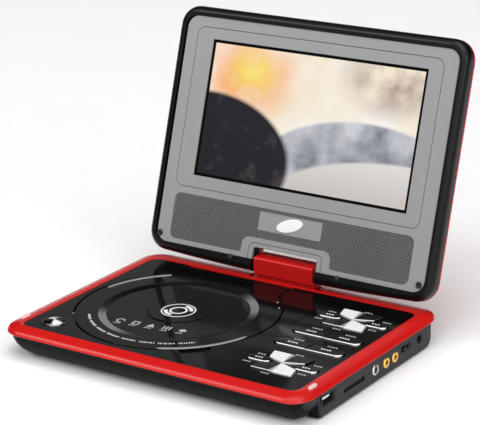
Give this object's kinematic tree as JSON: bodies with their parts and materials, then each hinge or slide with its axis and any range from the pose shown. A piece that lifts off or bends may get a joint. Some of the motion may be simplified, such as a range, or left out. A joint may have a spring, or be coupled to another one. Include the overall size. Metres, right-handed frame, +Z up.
{
  "type": "portable disc player",
  "caption": "Portable disc player: flat base with a lift-up disc door, keys and side sockets, and a wide screen that turns and tilts on a rear hinge block.",
  "frame": {"origin": "under the middle of the base, on the plane that the rubber feet stand on; the case's flat underside is 1.5 mm above it", "axes": "+X to the right as the user faces the screen, +Y to the back, +Z up; the rest pose has the screen tilted 18 degrees behind upright"},
  "size_m": [0.25, 0.2351, 0.2033],
  "materials": {
    "case_black": "fine moulded texture",
    "red_shell": "gloss lacquer",
    "gloss_black": "piano black",
    "satin_black": "satin",
    "face_grey": "metallic satin paint",
    "badge_white": "plain oval plate",
    "screen_glass": "flat display film",
    "chrome_trim": "plated",
    "steel": "stamped",
    "silver_jack": "plated",
    "gold_jack": "gold plated",
    "circuit_board": "solder mask",
    "battery_wrap": "shrink film",
    "rubber": "matte",
    "rim_pad": "translucent",
    "speaker_cone": "paper cone"
  },
  "bodies": {
    "base": {"bottom_case": "case_black", "top_cover": "red_shell", "top_panel": "gloss_black", "disc_tray": "case_black", "mech_chassis": "steel", "spindle_motor": "steel", "hinge_pedestal": "red_shell", "feed_motor": "steel", "rubber_dampers": "rubber", "main_board": "circuit_board", "key_board": "circuit_board", "battery_pack": "battery_wrap", "usb_socket": "steel", "card_socket": "steel", "headphone_jack": "silver_jack", "av_jacks": "gold_jack", "dc_inlet": "case_black", "power_switch": "steel", "rubber_feet": "rubber", "case_screws": "steel", "rim_pads": "rim_pad", "swivel_bracket": "steel", "door_catch": "case_black", "button_ring": "chrome_trim"},
    "hub": {"turntable": "case_black"},
    "sled": {"laser_sled": "case_black"},
    "feed_screw": {"lead_screw": "steel"},
    "door": {"disc_door": "gloss_black", "door_trim": "chrome_trim", "door_pins": "steel"},
    "open_button": {"open_button": "chrome_trim"},
    "power_slider": {"power_slider": "case_black"},
    "neck": {"swivel_shaft": "steel", "shaft_clip": "steel", "hinge_front_cover": "red_shell", "hinge_rear_cover": "red_shell", "tilt_axle": "steel"},
    "screen": {"screen_bezel": "satin_black", "face_panel": "face_grey", "lcd_panel": "screen_glass", "backlight_frame": "steel", "screen_board": "circuit_board", "speaker_left": "speaker_cone", "speaker_right": "speaker_cone", "badge": "badge_white", "screen_bumpers": "rubber", "screen_rear_shell": "red_shell", "tilt_brackets": "steel"},
    "rear_pad_left_key": {"rear_pad_left_key": "gloss_black"},
    "rear_pad_right_key": {"rear_pad_right_key": "gloss_black"},
    "rear_pad_back_key": {"rear_pad_back_key": "gloss_black"},
    "rear_pad_front_key": {"rear_pad_front_key": "gloss_black"},
    "front_pad_left_key": {"front_pad_left_key": "gloss_black"},
    "front_pad_right_key": {"front_pad_right_key": "gloss_black"},
    "front_pad_back_key": {"front_pad_back_key": "gloss_black"},
    "front_pad_front_key": {"front_pad_front_key": "gloss_black"},
    "rear_bar_left_key": {"rear_bar_left_key": "gloss_black"},
    "rear_bar_right_key": {"rear_bar_right_key": "gloss_black"},
    "front_bar_left_key": {"front_bar_left_key": "gloss_black"},
    "front_bar_right_key": {"front_bar_right_key": "gloss_black"}
  },
  "joints": [
    {"name": "swivel", "type": "hinge", "parent": "base", "child": "neck", "pos_m": [0, 0.084, 0.0233], "axis": [0, 0, 1], "range_deg": [-90, 180]},
    {"name": "tilt", "type": "hinge", "parent": "neck", "child": "screen", "pos_m": [0, 0.084, 0.0338], "axis": [-1, 0, 0], "range_deg": [-108, 17]},
    {"name": "door_lift", "type": "hinge", "parent": "base", "child": "door", "pos_m": [-0.0344, 0.0698, 0.0196], "axis": [-1, 0, 0], "range_deg": [0, 50]},
    {"name": "disc_spin", "type": "hinge", "parent": "base", "child": "hub", "pos_m": [-0.0344, -0.0039, 0.017], "axis": [0, 0, 1], "continuous": true},
    {"name": "laser_feed", "type": "slide", "parent": "base", "child": "sled", "axis": [1, 0, 0], "range_m": [0, 0.027]},
    {"name": "screw_turn", "type": "hinge", "parent": "base", "child": "feed_screw", "pos_m": [0, 0.0166, 0.0088], "axis": [1, 0, 0], "range_deg": [0, 3400]},
    {"name": "open_press", "type": "slide", "parent": "base", "child": "open_button", "axis": [0, 0, -1], "range_m": [0, 0.001], "stiffness_N_per_m": 1500, "springref_m": -0.0004},
    {"name": "power_slide", "type": "slide", "parent": "base", "child": "power_slider", "axis": [0, 1, 0], "range_m": [0, 0.004]},
    {"name": "rear_pad_left_press", "type": "slide", "parent": "base", "child": "rear_pad_left_key", "axis": [0, 0, -1], "range_m": [0, 0.0008], "stiffness_N_per_m": 1800, "springref_m": -0.0004},
    {"name": "rear_pad_right_press", "type": "slide", "parent": "base", "child": "rear_pad_right_key", "axis": [0, 0, -1], "range_m": [0, 0.0008], "stiffness_N_per_m": 1800, "springref_m": -0.0004},
    {"name": "rear_pad_back_press", "type": "slide", "parent": "base", "child": "rear_pad_back_key", "axis": [0, 0, -1], "range_m": [0, 0.0008], "stiffness_N_per_m": 1800, "springref_m": -0.0004},
    {"name": "rear_pad_front_press", "type": "slide", "parent": "base", "child": "rear_pad_front_key", "axis": [0, 0, -1], "range_m": [0, 0.0008], "stiffness_N_per_m": 1800, "springref_m": -0.0004},
    {"name": "front_pad_left_press", "type": "slide", "parent": "base", "child": "front_pad_left_key", "axis": [0, 0, -1], "range_m": [0, 0.0008], "stiffness_N_per_m": 1800, "springref_m": -0.0004},
    {"name": "front_pad_right_press", "type": "slide", "parent": "base", "child": "front_pad_right_key", "axis": [0, 0, -1], "range_m": [0, 0.0008], "stiffness_N_per_m": 1800, "springref_m": -0.0004},
    {"name": "front_pad_back_press", "type": "slide", "parent": "base", "child": "front_pad_back_key", "axis": [0, 0, -1], "range_m": [0, 0.0008], "stiffness_N_per_m": 1800, "springref_m": -0.0004},
    {"name": "front_pad_front_press", "type": "slide", "parent": "base", "child": "front_pad_front_key", "axis": [0, 0, -1], "range_m": [0, 0.0008], "stiffness_N_per_m": 1800, "springref_m": -0.0004},
    {"name": "rear_bar_left_press", "type": "slide", "parent": "base", "child": "rear_bar_left_key", "axis": [0, 0, -1], "range_m": [0, 0.0008], "stiffness_N_per_m": 1800, "springref_m": -0.0004},
    {"name": "rear_bar_right_press", "type": "slide", "parent": "base", "child": "rear_bar_right_key", "axis": [0, 0, -1], "range_m": [0, 0.0008], "stiffness_N_per_m": 1800, "springref_m": -0.0004},
    {"name": "front_bar_left_press", "type": "slide", "parent": "base", "child": "front_bar_left_key", "axis": [0, 0, -1], "range_m": [0, 0.0008], "stiffness_N_per_m": 1800, "springref_m": -0.0004},
    {"name": "front_bar_right_press", "type": "slide", "parent": "base", "child": "front_bar_right_key", "axis": [0, 0, -1], "range_m": [0, 0.0008], "stiffness_N_per_m": 1800, "springref_m": -0.0004}
  ],
  "couplings": [
    {"joint": "screw_turn", "follows": "laser_feed", "rad_per_m": 2094.4}
  ]
}
